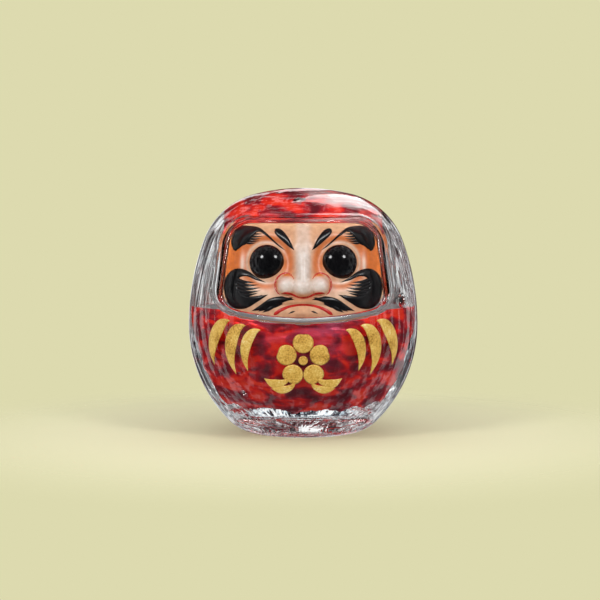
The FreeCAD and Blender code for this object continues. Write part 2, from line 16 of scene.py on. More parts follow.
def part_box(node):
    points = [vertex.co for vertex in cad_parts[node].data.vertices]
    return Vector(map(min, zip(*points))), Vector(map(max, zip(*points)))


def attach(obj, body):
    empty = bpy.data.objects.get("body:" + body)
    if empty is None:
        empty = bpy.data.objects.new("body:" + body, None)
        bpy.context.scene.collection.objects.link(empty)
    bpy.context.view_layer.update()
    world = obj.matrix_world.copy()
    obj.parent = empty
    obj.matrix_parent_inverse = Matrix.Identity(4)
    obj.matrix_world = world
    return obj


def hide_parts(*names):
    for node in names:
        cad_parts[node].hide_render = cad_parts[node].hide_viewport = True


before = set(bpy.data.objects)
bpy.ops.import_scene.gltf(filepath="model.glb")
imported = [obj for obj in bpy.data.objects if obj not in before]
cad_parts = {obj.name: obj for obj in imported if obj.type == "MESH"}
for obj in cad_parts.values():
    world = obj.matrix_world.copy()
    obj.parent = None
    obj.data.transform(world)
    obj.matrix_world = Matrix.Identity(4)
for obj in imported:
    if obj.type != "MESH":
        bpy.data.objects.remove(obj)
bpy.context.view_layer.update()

MM = 0.001

# %% [markdown]
# ## The doll's outer form
# The whole doll is one turned profile: a flat foot, a small heel, a long belly arc, a flatter
# side, a round shoulder and a shallow crown, each arc tangent to the next. Glass, liners, face
# and gilding all follow this form at their own depth, so one function gives how far the form
# reaches from the axis at any height, moved out or in by any amount. Working it out as arcs,
# rather than sampling a mesh, keeps every surface smooth at any resolution.

# %% The profile's arcs, in millimetres
shell_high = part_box("shell_back")[1]
HEIGHT = shell_high.z / MM
BELLY_RADIUS = shell_high.x / MM
BELLY_HEIGHT = 48.7
FOOT_RADIUS = 20.8
HEEL_RADIUS = 17.7
SHOULDER_RADIUS = 33.2
SHOULDER_INSET = 4.8
CROWN_RISE = 1.7


def joining_radius(across, rise, inner):
    """Radius of an arc that is level with its centre at one end and meets a smaller arc."""
    return (across**2 + rise**2 - inner**2) / (2 * (across - inner))


HEEL = Vector((FOOT_RADIUS, HEEL_RADIUS))
SHOULDER = Vector(
    (BELLY_RADIUS - SHOULDER_INSET - SHOULDER_RADIUS, HEIGHT - CROWN_RISE - SHOULDER_RADIUS)
)
BELLY_ARC = joining_radius(BELLY_RADIUS - HEEL.x, BELLY_HEIGHT - HEEL.y, HEEL_RADIUS)
SIDE_ARC = joining_radius(BELLY_RADIUS - SHOULDER.x, SHOULDER.y - BELLY_HEIGHT, SHOULDER_RADIUS)
CROWN_ARC = joining_radius(HEIGHT - SHOULDER.y, SHOULDER.x, SHOULDER_RADIUS)
ARCS = (
    (HEEL, HEEL_RADIUS),
    (Vector((BELLY_RADIUS - BELLY_ARC, BELLY_HEIGHT)), BELLY_ARC),
    (Vector((BELLY_RADIUS - SIDE_ARC, BELLY_HEIGHT)), SIDE_ARC),
    (SHOULDER, SHOULDER_RADIUS),
    (Vector((0, HEIGHT - CROWN_ARC)), CROWN_ARC),
)


def direction(start, end):
    """The angle of the line from one point of the profile to another."""
    return math.atan2(end.y - start.y, end.x - start.x)


TURNS = (
    -math.pi / 2,
    direction(ARCS[1][0], ARCS[0][0]),
    0.0,
    direction(ARCS[2][0], ARCS[3][0]),
    direction(ARCS[4][0], ARCS[3][0]),
    math.pi / 2,
)


def reach(height, out=0.0):
    """How far from the axis the form stands at a height, moved outwards by out millimetres."""
    for (centre, radius), turn in zip(ARCS, TURNS[1:]):
        radius += out
        if height <= centre.y + radius * math.sin(turn) or turn == TURNS[-1]:
            rise = max(-radius, min(radius, height - centre.y))
            return max(0.0, centre.x + math.sqrt(radius**2 - rise**2))


def arc(centre, radius, start, end, count, last=0):
    """The first points of an arc cut in count even steps; last=1 adds its end."""
    turns = [start + (end - start) * index / count for index in range(count + last)]
    return [centre + Vector((math.cos(turn), math.sin(turn))) * radius for turn in turns]


def profile(out=0.0, step=1.2):
    """Points (radius, height) up the form from the foot's edge to the crown, step mm apart."""
    points = []
    for (centre, radius), start, end in zip(ARCS, TURNS, TURNS[1:]):
        radius += out
        points += arc(centre, radius, start, end, max(2, round(radius * (end - start) / step)))
    return points + [Vector((0.0, HEIGHT + out))]


def on_front(x, z, out=0.0):
    """The point of the form's front, seen at x and z, moved outwards by out, in metres."""
    depth = math.sqrt(max(0.0, reach(z, out) ** 2 - x * x))
    return Vector((x, -depth, z)) * MM


print(f"height {HEIGHT:.1f} mm, belly radius {BELLY_RADIUS:.1f} mm, crown arc {CROWN_ARC:.1f} mm")

# %% [markdown]
# ## Depths and sizes shared by the pieces
# Each layer has a depth below (or a height above) the outer glass. The red liners stand a
# hair's breadth clear of the glass: that thin air gap is what makes the real doll's margins
# silvery, because light that meets the inner wall at a slant is thrown back.

# %% Layers, in millimetres from the outer glass
GLASS_WALL = 4.0
AIR_GAP = 0.4
LINER_WALL = 1.2
FACE_FRONT = -(GLASS_WALL + AIR_GAP)
FACE_BACK = FACE_FRONT - 3.5
FRAME_CREST = 0.8
GOLD_RISE = 0.3
BASE_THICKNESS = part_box("robe_liner")[0].z / MM
ROBE_RIM = 57.0
HOOD_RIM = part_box("hood_liner")[0].z / MM
print(f"glass base {BASE_THICKNESS:.1f} mm thick, hood rim at {HOOD_RIM:.1f} mm")

# %% [markdown]
# ## Helpers for shapes
# Most pieces here are sheets wrapped into closed skins: a stroke of enamel, the frame round the
# face, the sculpted face. `bmesh.ops.create_grid` makes the sheet, each vertex is moved to its
# place, and merging the doubles closes the seam. A finished piece rides on the doll's one rigid
# body, and the CAD nodes that it stands for are hidden.


# %% Helpers that turn a bmesh into a piece
def loose_object(name, bm):
    """An object made of a bmesh, smooth and in no group yet."""
    mesh = bpy.data.meshes.new(name)
    for face in bm.faces:
        face.smooth = True
    bm.to_mesh(mesh)
    bm.free()
    item = bpy.data.objects.new(name, mesh)
    bpy.context.scene.collection.objects.link(item)
    return item


def new_piece(name, bm, material, nodes=()):
    """Closes a bmesh into an object that rides on the doll."""
    piece = loose_object(name, bm)
    piece.data.materials.append(material)
    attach(piece, "root")
    if nodes:
        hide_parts(*nodes)
    print(f"{name}: {len(piece.data.polygons)} faces")
    return piece


def close_skin(bm, gap=0.00001):
    """Merges the seam and the poles of a wrapped sheet and turns its faces outwards."""
    bmesh.ops.remove_doubles(bm, verts=bm.verts[:], dist=gap)
    bmesh.ops.dissolve_degenerate(bm, dist=gap, edges=bm.edges[:])
    bmesh.ops.recalc_face_normals(bm, faces=bm.faces[:])
    return bm


def wrap_grid(bm, across, along, place):
    """Adds a grid of across by along faces, each vertex put at place(u, v), both 0 to 1."""
    made = bmesh.ops.create_grid(bm, x_segments=across, y_segments=along, size=0.5)
    for vert in made["verts"]:
        vert.co = place(vert.co.x + 0.5, vert.co.y + 0.5)
    return made["verts"]


def mix(start, end, share):
    """A number part of the way from start to end."""
    return start + (end - start) * share


def smoothstep(low, high, value):
    """0 below low, 1 above high, and a smooth rise between."""
    share = max(0.0, min(1.0, (value - low) / (high - low)))
    return share * share * (3 - 2 * share)


# %% [markdown]
# ## Helpers for materials
# Colours are written as the sRGB hex that a paint card would give and turned into the linear
# values that the renderer adds up. One helper adds a node, sets it and links it.


# %% Colour and node helpers
def linear(hex_colour):
    """An sRGB hex such as E8C45A as a linear RGBA tuple."""
    channels = [int(hex_colour[i : i + 2], 16) / 255 for i in (0, 2, 4)]
    return tuple(c / 12.92 if c <= 0.04045 else ((c + 0.055) / 1.055) ** 2.4 for c in channels) + (1.0,)


def add(tree, kind, inputs=None, **settings):
    """Adds a node. inputs maps a socket to a value, a socket or a node, for its first output."""
    node = tree.nodes.new("ShaderNode" + kind)
    for key, value in settings.items():
        setattr(node, key, value)
    for key, value in (inputs or {}).items():
        if isinstance(value, bpy.types.Node):
            value = next(output for output in value.outputs if output.enabled)
        if isinstance(value, bpy.types.NodeSocket):
            tree.links.new(value, node.inputs[key])
        else:
            node.inputs[key].default_value = value
    return node


def new_material(name):
    """A material, its emptied node tree, and the place on the doll as its first socket."""
    material = bpy.data.materials.new(name)
    material.use_nodes = True
    tree = material.node_tree
    tree.nodes.clear()
    return material, tree, add(tree, "TexCoord").outputs["Object"]


def ramp(tree, factor, stops):
    """A colour ramp: stops are (position, hex) pairs."""
    node = add(tree, "ValToRGB", {"Fac": factor})
    bar = node.color_ramp
    while len(bar.elements) < len(stops):
        bar.elements.new(0.5)
    for element, (position, colour) in zip(bar.elements, stops):
        element.position = position
        element.color = linear(colour)
    return node.outputs["Color"]


def per_metre(size_mm):
    """The scale of a noise whose features are size_mm across, in Object coordinates."""
    return 1.0 / (size_mm * MM)


def turned_coordinates(tree, place, around, up):
    """Coordinates that follow the turned form: around and up are pattern sizes in mm.

    The first runs with the angle about the axis, taken as an arc at the belly.
    """
    split = add(tree, "SeparateXYZ", {0: place})
    angle = add(tree, "Math", {0: split.outputs["X"], 1: split.outputs["Y"]}, operation="ARCTAN2")
    cosine = add(tree, "Math", {0: angle}, operation="COSINE")
    sine = add(tree, "Math", {0: angle}, operation="SINE")
    turns = BELLY_RADIUS / around
    wide = add(tree, "Math", {0: cosine, 1: turns}, operation="MULTIPLY")
    deep = add(tree, "Math", {0: sine, 1: turns}, operation="MULTIPLY")
    high = add(tree, "Math", {0: split.outputs["Z"], 1: per_metre(up)}, operation="MULTIPLY")
    return add(tree, "CombineXYZ", {"X": wide, "Y": deep, "Z": high})


# %% [markdown]
# ## Clear cast glass
# Soda-lime glass, cast and fire-polished: index 1.5, almost no colour, and a faint waviness that
# runs up the wall from the mould, which breaks reflections into streaks. The wave is a bump of
# about a tenth of a millimetre that dies away at the poles, where it would gather in a star.
# Cycles lights what stands inside glass only by chance hits, so shadow rays pass straight
# through, as they nearly do through a real thin wall.


# %% Glass materials
FLUTE_WIDTH, FLUTE_LENGTH = 4.2, 60.0
FLUTES_FULL, FLUTES_END = 10 * MM, 17 * MM
CALM_MIDDLE, WAVES_FULL = 6 * MM, 24 * MM


def clear_glass(name, wave_around, wave_up, wave_depth, foot_flutes=0.0):
    """Clear and bright, with waves wave_depth mm deep and soft upright flutes near the foot."""
    material, tree, place = new_material(name)
    wave = add(
        tree, "TexNoise",
        {"Vector": turned_coordinates(tree, place, wave_around, wave_up), "Scale": 1.0, "Detail": 2.0},
    )
    flutes = add(
        tree, "TexNoise",
        {"Vector": turned_coordinates(tree, place, FLUTE_WIDTH, FLUTE_LENGTH),
         "Scale": 1.0, "Detail": 1.0},
    )
    level = add(tree, "SeparateXYZ", {0: place})
    low_down = add(
        tree, "MapRange",
        {"Value": level.outputs["Z"], "From Min": FLUTES_FULL, "From Max": FLUTES_END,
         "To Min": foot_flutes, "To Max": 0.0},
        interpolation_type="SMOOTHSTEP",
    )
    fluted = add(tree, "Math", {0: flutes, 1: low_down}, operation="MULTIPLY")
    height = add(tree, "Math", {0: wave, 1: wave_depth, 2: fluted}, operation="MULTIPLY_ADD")
    flat = add(tree, "VectorMath", {0: place, 1: (1.0, 1.0, 0.0)}, operation="MULTIPLY")
    reach_out = add(tree, "VectorMath", {0: flat}, operation="LENGTH")
    off_axis = add(
        tree, "MapRange", {"Value": reach_out, "From Min": CALM_MIDDLE, "From Max": WAVES_FULL},
        interpolation_type="SMOOTHSTEP",
    )
    rippled = add(tree, "Math", {0: height, 1: off_axis}, operation="MULTIPLY")
    bump = add(tree, "Bump", {"Height": rippled, "Distance": MM})
    glass = add(
        tree, "BsdfPrincipled",
        {"Base Color": linear("F7FAF9"), "Roughness": 0.0, "IOR": 1.5,
         "Transmission Weight": 1.0, "Normal": bump},
    )
    clear = add(tree, "BsdfTransparent", {"Color": linear("F7FAF9")})
    path = add(tree, "LightPath")
    mixed = add(tree, "MixShader", {0: path.outputs["Is Shadow Ray"], 1: glass, 2: clear})
    add(tree, "OutputMaterial", {"Surface": mixed})
    return material


SHELL_GLASS = clear_glass("cast_soda_glass_shell", 8.0, 30.0, 0.2, 0.14)
BEAD_GLASS = clear_glass("lampworked_glass_bead", 5.0, 5.0, 0.03)

# %% [markdown]
# ## Red lacquer over beaten foil
# The liners are thin metal, beaten and coated in transparent red lacquer. The beating leaves
# soft dents some millimetres wide that catch the light one by one, and the lacquer pools deeper
# red in the hollows: the eye reads a restless mottle from bright red to maroon. Two paler patches,
# at the collar and the right of the crown, are painted highlights laid into the lacquer's colour,
# pink and pale grey; the card lamp behind the crown adds a real highlight on the glass there too.
# The back of the foil is left bare and dull silver.


# %% Red liner material
# Painted highlights in the lacquer's colour: the middle of each, where it starts and ends, how strong,
# and its tone.
PAINTED_HIGHLIGHT_SPOTS = (
    ((0.0, -47.0, 50.0), 8, 24, 0.55, "D8587E"),
    ((20.0, -12.0, 107.0), 14, 24, 0.85, "C6BCBA"),
)


def red_lacquer():
    """A restless red, from maroon to bright, with a soft metal sheen and two painted highlights."""
    material, tree, place = new_material("red_lacquer_on_beaten_foil")
    level = add(
        tree, "Mapping", {"Vector": place, "Scale": (per_metre(8.0), per_metre(8.0), per_metre(4.0))},
    )
    long_marks = add(
        tree, "TexNoise", {"Vector": level, "Scale": 0.8, "Detail": 2.2, "Distortion": 0.4},
    )
    colour = ramp(
        tree,
        long_marks,
        ((0.34, "6E0A1C"), (0.43, "980E20"), (0.50, "C61420"), (0.56, "F62416"), (0.66, "FF3A1C")),
    )
    # A soft noise breaks up the painted highlights into patches.
    highlight_break_place = add(
        tree, "Mapping", {"Vector": place, "Scale": (per_metre(22.0), per_metre(22.0), per_metre(5.0))},
    )
    highlight_break = add(tree, "TexNoise", {"Vector": highlight_break_place, "Scale": 1.0, "Detail": 2.0})
    patch = add(tree, "MapRange", {"Value": highlight_break, "From Min": 0.42, "From Max": 0.6})
    # Each spot lays a painted highlight into the colour: pink at the collar, pale grey on the crown.
    for spot, near, far, share, tone in PAINTED_HIGHLIGHT_SPOTS:
        away = add(tree, "VectorMath", {0: place, 1: Vector(spot) * MM}, operation="DISTANCE")
        highlight_falloff = add(
            tree, "MapRange",
            {"Value": away, "From Min": near * MM, "From Max": far * MM,
             "To Min": share, "To Max": 0.0},
            interpolation_type="SMOOTHSTEP",
        )
        painted_highlight = add(tree, "Math", {0: highlight_falloff, 1: patch}, operation="MULTIPLY")
        colour = add(tree, "Mix", {0: painted_highlight, 6: colour, 7: linear(tone)}, data_type="RGBA")
    dents = add(tree, "TexNoise", {"Vector": level, "Scale": 1.4, "Detail": 1.5})
    bump = add(tree, "Bump", {"Height": dents, "Distance": 0.8 * MM})
    lacquer = add(
        tree, "BsdfPrincipled",
        {"Base Color": colour, "Metallic": 0.5, "Roughness": 0.35,
         "Coat Weight": 0.1, "Coat Roughness": 0.15, "Normal": bump},
    )
    add(tree, "OutputMaterial", {"Surface": lacquer})
    return material


def bare_foil():
    """The back of the foil, unlacquered: dull silver that lights the hollow doll."""
    material, tree, place = new_material("bare_beaten_foil")
    dents = add(tree, "TexNoise", {"Vector": place, "Scale": per_metre(4.0), "Detail": 2.0})
    bump = add(tree, "Bump", {"Height": dents, "Distance": 0.8 * MM})
    foil = add(
        tree, "BsdfPrincipled",
        {"Base Color": linear("D8D6D8"), "Metallic": 0.6, "Roughness": 0.4, "Normal": bump},
    )
    add(tree, "OutputMaterial", {"Surface": foil})
    return material


RED_LACQUER = red_lacquer()
BARE_FOIL = bare_foil()

# %% [markdown]
# ## Painted porcelain, enamels and gilding
# The face is glazed porcelain: the colours are sprayed on softly, so they live in a colour
# attribute of the sculpted mesh, under one glossy glaze. The black strokes are thick enamel,
# the eyes polished black glass, and the strokes on the belly raised gilding with a fine grain.


# %% Porcelain, enamel and gold materials
def painted_porcelain():
    """Soft skin colours with a little depth under a quiet gloss."""
    material, tree, place = new_material("painted_glazed_porcelain")
    paint = add(tree, "VertexColor", layer_name="paint")
    brushed = add(tree, "TexNoise", {"Vector": place, "Scale": per_metre(2.2), "Detail": 4.0})
    shade = ramp(tree, brushed, ((0.35, "E6E0DA"), (0.65, "FFFFFF")))
    tinted = add(tree, "Mix", {0: 0.8, 6: paint, 7: shade}, data_type="RGBA", blend_type="MULTIPLY")
    grain = add(tree, "TexNoise", {"Vector": place, "Scale": per_metre(0.9), "Detail": 2.0})
    bump = add(tree, "Bump", {"Height": grain, "Distance": 0.03 * MM, "Strength": 0.6})
    glaze = add(
        tree, "BsdfPrincipled",
        {"Base Color": tinted, "Roughness": 0.42, "Subsurface Weight": 0.08,
         "Subsurface Radius": (0.0012, 0.0006, 0.0004), "Subsurface Scale": 1.0,
         "Coat Weight": 0.25, "Coat Roughness": 0.25, "Normal": bump},
    )
    add(tree, "OutputMaterial", {"Surface": glaze})
    return material


def brushed_enamel(name, dark, light, roughness, ridge_mm):
    """Thick enamel: fine bristle ridges, a slightly uneven tone and a wet gloss."""
    material, tree, place = new_material(name)
    ridges = add(tree, "TexNoise", {"Vector": place, "Scale": per_metre(ridge_mm), "Detail": 3.0})
    colour = ramp(tree, ridges, ((0.4, dark), (0.75, light)))
    bump = add(tree, "Bump", {"Height": ridges, "Distance": 0.05 * MM, "Strength": 0.5})
    enamel = add(
        tree, "BsdfPrincipled",
        {"Base Color": colour, "Roughness": roughness, "Specular IOR Level": 0.3,
         "Coat Weight": 0.15, "Coat Roughness": 0.15, "Normal": bump},
    )
    add(tree, "OutputMaterial", {"Surface": enamel})
    return material


def raised_gold():
    """Warm satin gold, cloudy and finely grained."""
    material, tree, place = new_material("raised_gilding_satin")
    grain = add(tree, "TexNoise", {"Vector": place, "Scale": per_metre(0.7), "Detail": 4.0})
    cloud = add(tree, "TexNoise", {"Vector": place, "Scale": per_metre(7.0), "Detail": 2.0})
    both = add(tree, "Math", {0: grain, 1: cloud}, operation="ADD")
    half = add(tree, "Math", {0: both, 1: 0.5}, operation="MULTIPLY")
    colour = ramp(tree, half, ((0.36, "B07E2C"), (0.47, "DEB050"), (0.57, "EEC868"), (0.7, "FBEBB4")))
    bump = add(tree, "Bump", {"Height": grain, "Distance": 0.12 * MM, "Strength": 0.7})
    gold = add(
        tree, "BsdfPrincipled",
        {"Base Color": colour, "Metallic": 0.25, "Roughness": 0.45, "Normal": bump},
    )
    add(tree, "OutputMaterial", {"Surface": gold})
    return material


PORCELAIN = painted_porcelain()
BLACK_ENAMEL = brushed_enamel("black_enamel_brushed_thick", "020203", "0C0C10", 0.3, 1.6)
RED_ENAMEL = brushed_enamel("red_enamel_line", "A81410", "C8281C", 0.35, 1.2)
BLACK_GLASS = brushed_enamel("black_glass_polished", "030304", "0A0A0C", 0.12, 4.0)
GOLD = raised_gold()

# %% [markdown]
# ## The glass shell
# A real shell is cast in two halves and bonded. On screen the bond vanishes, so one turned skin
# stands for both. `bmesh.ops.spin` turns the profile of the outside and of the cavity, and a
# boolean takes out the opening for the face: the same cut that the maker grinds.

# %% The window outline
WINDOW_TOP, WINDOW_BOTTOM = 94.2, 54.8
UPPER_HALF, LOWER_HALF = 31.9, 34.4
TOP_CORNER, BOTTOM_CORNER = 10.0, 6.5
BOTTOM_SWEEP = 150.0
SIDE_BAR, TOP_BAR, BOTTOM_BAR = 5.0, 4.4, 2.6
HALF_STEPS = 110


def window_outline(side=0.0, top=0.0, bottom=0.0):
    """The opening's rounded outline as (x, z) points, let out by three margins."""
    high, low = WINDOW_TOP + top, WINDOW_BOTTOM - bottom
    upper, lower = UPPER_HALF + side, LOWER_HALF + side
    corner, heel = TOP_CORNER + side, BOTTOM_CORNER + side
    chin = Vector((0.0, low + BOTTOM_SWEEP))
    heel_x = lower - heel
    heel_centre = Vector((heel_x, chin.y - math.sqrt((BOTTOM_SWEEP - heel) ** 2 - heel_x**2)))
    top_centre = Vector((upper - corner, high - corner))
    lean = direction(chin, heel_centre)
    half = arc(chin, BOTTOM_SWEEP, -math.pi / 2, lean, 30, 1)
    half += arc(heel_centre, heel, lean, 0.0, 12, 1)
    half += arc(top_centre, corner, 0.0, math.pi / 2, 18, 1)
    even = spread_evenly(half + [Vector((0.0, high))], HALF_STEPS)
    return even + [Vector((-p.x, p.y)) for p in reversed(even[1:-1])]


def spread_evenly(points, count):
    """The same line as count even steps."""
    lengths = [0.0]
    for before, after in zip(points, points[1:]):
        lengths.append(lengths[-1] + (after - before).length)
    even, index = [], 0
    for step in range(count + 1):
        target = lengths[-1] * step / count
        while index < len(points) - 2 and lengths[index + 1] < target:
            index += 1
        span = max(1e-9, lengths[index + 1] - lengths[index])
        even.append(points[index].lerp(points[index + 1], (target - lengths[index]) / span))
    return even


# %% Turn the shell and cut its window
SHELL_STEPS = 160


def turn_profile(bm, points, steps=SHELL_STEPS):
    """Spins a row of (radius, height) points in millimetres about the axis."""
    verts = [bm.verts.new(Vector((p.x, 0.0, p.y)) * MM) for p in points]
    edges = [bm.edges.new(pair) for pair in zip(verts, verts[1:])]
    bmesh.ops.spin(
        bm, geom=verts + edges, cent=(0, 0, 0), axis=(0, 0, 1), angle=2 * math.pi,
        steps=steps, use_merge=True,
    )


def cavity_profile(inset, step=1.4):
    """The cavity's profile, moved inwards: flat floor, small heel, then the form itself."""
    floor, floor_radius, heel = BASE_THICKNESS + inset, 22.0, 10.0 - inset
    out = -(GLASS_WALL + inset)
    widest = BELLY_RADIUS + out
    belly = joining_radius(widest - floor_radius, BELLY_HEIGHT - floor - heel, heel)
    centre = Vector((widest - belly, BELLY_HEIGHT))
    heel_centre = Vector((floor_radius, floor + heel))
    lean = direction(centre, heel_centre)
    points = [Vector((r, floor)) for r in (0.0, 6.0, 12.0, 18.0)]
    points += arc(heel_centre, heel, -math.pi / 2, lean, round(heel * (lean + math.pi / 2) / step))
    points += arc(centre, belly, lean, 0.0, round(-belly * lean / step))
    return points + [p for p in profile(out, step) if p.y >= BELLY_HEIGHT - 0.001]


def combine(piece, other, operation):
    """Cuts another object from a piece, or joins it on, for good, and removes the other."""
    step = piece.modifiers.new("combine", "BOOLEAN")
    step.operation = operation
    step.solver = "EXACT"
    step.object = other
    evaluated = piece.evaluated_get(bpy.context.evaluated_depsgraph_get())
    mesh = bpy.data.meshes.new_from_object(evaluated)
    piece.modifiers.clear()
    piece.data = mesh
    bpy.data.objects.remove(other)


def window_block(name, side, top, bottom):
    """A block the shape of the opening, from the mid-plane out past the front."""
    bm = bmesh.new()
    outline = window_outline(side, top, bottom)
    verts = [bm.verts.new(Vector((p.x, 0.0, p.y)) * MM) for p in outline]
    face = bm.faces.new(verts)
    drawn = bmesh.ops.extrude_face_region(bm, geom=[face])
    moved = [item for item in drawn["geom"] if isinstance(item, bmesh.types.BMVert)]
    bmesh.ops.translate(bm, verts=moved, vec=(0, -1.2 * BELLY_RADIUS * MM, 0))
    bmesh.ops.recalc_face_normals(bm, faces=bm.faces[:])
    return loose_object(name, bm)


def shell():
    bm = bmesh.new()
    foot = [Vector((r, 0.0)) for r in (0.0, 6.0, 12.0, 17.0)]
    turn_profile(bm, foot + profile(0.0))
    close_skin(bm)
    inner = bmesh.new()
    turn_profile(inner, cavity_profile(0.0))
    close_skin(inner)
    bmesh.ops.reverse_faces(inner, faces=inner.faces[:])
    cavity_mesh = bpy.data.meshes.new("cavity")
    inner.to_mesh(cavity_mesh)
    inner.free()
    bm.from_mesh(cavity_mesh)
    bpy.data.meshes.remove(cavity_mesh)
    return new_piece(
        "glass_shell", bm, SHELL_GLASS,
        ("shell_front", "shell_back", "frame_bond", "face_frame"),
    )


SHELL = shell()

# %% [markdown]
# ## The frame round the face
# A clear bar with a soft D section runs round the opening. It is a sheet wrapped twice: once
# along the outline and once round its own section, so its crest follows the belly exactly. It
# is bonded in with clear resin of the glass's own index, so light crosses the joint unbent: on
# screen the bar is joined to the shell into one body, after the opening is cut from the shell.


# %% Wrap the frame
def superellipse(turn, power):
    """A rounded square's point at an angle: power 2 is a circle, and more is squarer."""
    return [math.copysign(abs(part) ** (2 / power), part) for part in (math.cos(turn), math.sin(turn))]


FRAME_POWER = 3.6


def face_frame():
    inner = window_outline()
    outer = window_outline(SIDE_BAR, TOP_BAR, BOTTOM_BAR)
    count = len(inner)
    middle = (FRAME_CREST + FACE_FRONT) / 2
    rise = (FRAME_CREST - FACE_FRONT) / 2

    def place(u, v):
        index = round(u * count) % count
        across, up = superellipse(2 * math.pi * v, FRAME_POWER)
        point = inner[index].lerp(outer[index], 0.5 + 0.5 * across)
        return on_front(point.x, point.y, middle + rise * up)

    bm = bmesh.new()
    wrap_grid(bm, count, 36, place)
    return loose_object("frame", close_skin(bm))


def window_in_shell():
    """Cuts the opening halfway under the frame's bar, then joins the frame on."""
    half = (SIDE_BAR / 2, TOP_BAR / 2, BOTTOM_BAR / 2)
    combine(SHELL, window_block("window", *half), "DIFFERENCE")
    combine(SHELL, face_frame(), "UNION")
    print(f"shell with its frame: {len(SHELL.data.polygons)} faces")


window_in_shell()

# %% [markdown]
# ## The red robe and hood
# The robe is a cup with a panel up the back that carries the hood's edge, and the hood is a
# band over the crown. Both are turned like the shell, scored with straight lines where they
# part, beaten, given a wall, and cut round the face. The dents are real: each vertex moves with a
# smooth noise. Where the foil is pressed on the glass no air is left between, so its red shows
# right out to the doll's outline; where it stands clear, the margin turns silver.


# %% Turn, dent and cut the liners
DENT_DEPTH = 0.35
DENT_SIZE = 5.5
PRESSED_IN = 0.06
HELD, LOOSE, FREE = 0.8, -0.5, -0.8
BACK_PANEL = 33.0
RIM_GAP = 0.5
PLATE_LAP, PLATE_LAP_TOP = 1.0, 0.2
NOTCH = 0.3
ROBE_NOTCH = (SIDE_BAR + NOTCH, TOP_BAR + NOTCH, BOTTOM_BAR + NOTCH)
HOOD_NOTCH = (PLATE_LAP + NOTCH,) * 3


def hold(place):
    """How firmly the foil is pressed on the glass at a place in millimetres: 0 to 1."""
    streaks = noise.noise(Vector((place.x / 7, place.y / 7, place.z / 12 + 4)))
    fine = noise.noise(Vector((place.x / 2.5, place.y / 2.5, place.z / 5)))
    if place.z < BASE_THICKNESS + AIR_GAP + 0.2:
        # On the floor the folds run out from the middle like spokes.
        turn = math.atan2(place.x, place.y) * 9
        return smoothstep(0.1, 0.18, noise.noise(Vector((turn, 0.0, 0.3))))
    if place.z > HOOD_RIM - 1:
        press = mix(HELD, FREE, smoothstep(6, 14, place.y))
    elif place.z > ROBE_RIM + 1 or place.y > 8:
        press = FREE
    else:
        # The robe comes clear of the glass at the flanks, sooner low down, and near the base.
        away = math.degrees(math.asin(min(1.0, abs(place.x) / math.hypot(place.x, place.y))))
        flank = mix(66, 79, smoothstep(34, 55, place.z))
        press = mix(HELD, LOOSE, smoothstep(flank - 4, flank + 4, away))
        hem = 13.5 + 5 * (place.x / 40) ** 2
        press = mix(FREE, press, smoothstep(hem, hem + 4, place.z))
    return smoothstep(-0.12, 0.12, streaks + 0.35 * fine + press)


def beat(bm):
    """Beats the thin skin: pressed to the glass in places, and dented in the rest."""
    bm.normal_update()
    for vert in bm.verts:
        place = vert.co / MM
        dents = Vector((place.x, place.y, place.z * 1.6)) / DENT_SIZE
        inwards = max(0.0, noise.noise(dents) + 0.5) * DENT_DEPTH
        share = hold(place)
        vert.co += vert.normal * mix(-inwards, AIR_GAP + PRESSED_IN, share) * MM


def in_robe(x, y, z):
    return z < ROBE_RIM or (y > 0 and abs(x) < BACK_PANEL and z < HOOD_RIM - RIM_GAP)


def in_hood(x, y, z):
    return z > HOOD_RIM and abs(x) < BACK_PANEL


SNAP = 0.04 * MM


def score(bm, place, across):
    """Cuts a straight line through a skin at a plane, so that it parts cleanly there."""
    everything = bm.verts[:] + bm.edges[:] + bm.faces[:]
    bmesh.ops.bisect_plane(bm, geom=everything, dist=SNAP, plane_co=Vector(place) * MM, plane_no=across)
    bmesh.ops.remove_doubles(bm, verts=bm.verts[:], dist=SNAP)


def red_liner(name, nodes, keep, rims, notch):
    """A beaten red skin over the parts of the cavity where keep(x, y, z) is true."""
    bm = bmesh.new()
    turn_profile(bm, cavity_profile(AIR_GAP, 0.8), 280)
    bmesh.ops.remove_doubles(bm, verts=bm.verts[:], dist=0.00001)
    bmesh.ops.recalc_face_normals(bm, faces=bm.faces[:])
    for height in rims:
        score(bm, (0, 0, height), (0, 0, 1))
    for side in (-BACK_PANEL, BACK_PANEL):
        score(bm, (side, 0, 0), (1, 0, 0))
    beat(bm)
    spare = [face for face in bm.faces if not keep(*(face.calc_center_median() / MM))]
    bmesh.ops.delete(bm, geom=spare, context="FACES")
    bmesh.ops.solidify(bm, geom=bm.faces[:], thickness=LINER_WALL * MM)
    bmesh.ops.recalc_face_normals(bm, faces=bm.faces[:])
    middle = Vector((0.0, 0.0, BELLY_HEIGHT)) * MM
    for face in bm.faces:
        inside = face.normal.dot(face.calc_center_median() - middle) < 0
        face.material_index = 1 if inside else 0
    piece = new_piece(name, bm, RED_LACQUER, nodes)
    piece.data.materials.append(BARE_FOIL)
    combine(piece, window_block("notch", *notch), "DIFFERENCE")
    print(f"{name}: {len(piece.data.polygons)} faces after the cut")
    return piece


red_liner("robe_liner_red", ("robe_liner",), in_robe, (ROBE_RIM, HOOD_RIM - RIM_GAP), ROBE_NOTCH)
red_liner("hood_liner_red", ("hood_liner",), in_hood, (HOOD_RIM,), HOOD_NOTCH)

# %% [markdown]
# ## The face
# The face is a curved plate with a modelled nose, brow ridges, cheeks and lips. It could be
# sculpted by hand, but soft bumps added to the plate's front are exact and easy to change: each
# is a bell of a few millimetres, given by its place, its spread and its height.

# %% Face relief
EYE = Vector((15.6, 77.7))
EYE_RADIUS = 7.5
WING = Vector((6.9, 68.3))


def bell(x, z, centre_x, centre_z, spread_x, spread_z, height):
    """A smooth round bump."""
    return height * math.exp(-(((x - centre_x) / spread_x) ** 2) - ((z - centre_z) / spread_z) ** 2)


